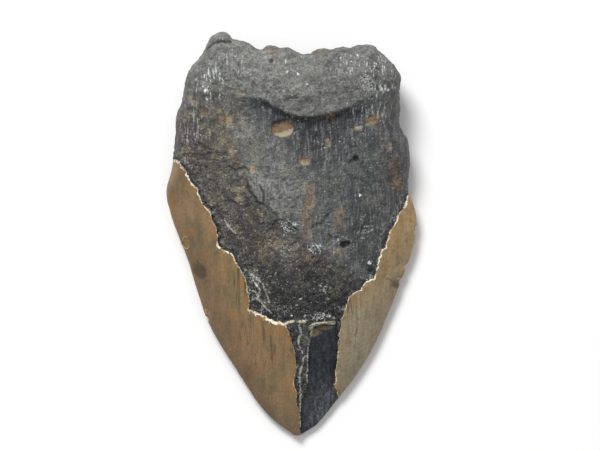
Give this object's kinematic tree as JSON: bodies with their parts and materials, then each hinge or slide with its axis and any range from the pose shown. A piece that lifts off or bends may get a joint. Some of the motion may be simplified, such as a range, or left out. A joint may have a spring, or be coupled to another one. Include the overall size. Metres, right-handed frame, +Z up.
{
  "type": "fossil megalodon tooth",
  "caption": "Large fossil shark tooth lying on its labial face, with a thick root, a broad crown, and enamel left only on the two flanks.",
  "frame": {"origin": "middle of the tooth's outline, on the surface that it lies on", "axes": "+Y from the tip of the crown towards the root, +X across the tooth, +Z up, out of the lingual face"},
  "size_m": [0.0704, 0.113, 0.0232],
  "materials": {
    "fossil": "dark grey fossil dentine and root, matt and finely pitted, with satin brown enamel on the two flanks of the crown"
  },
  "bodies": {
    "root": {"tooth": "fossil"}
  },
  "joints": []
}
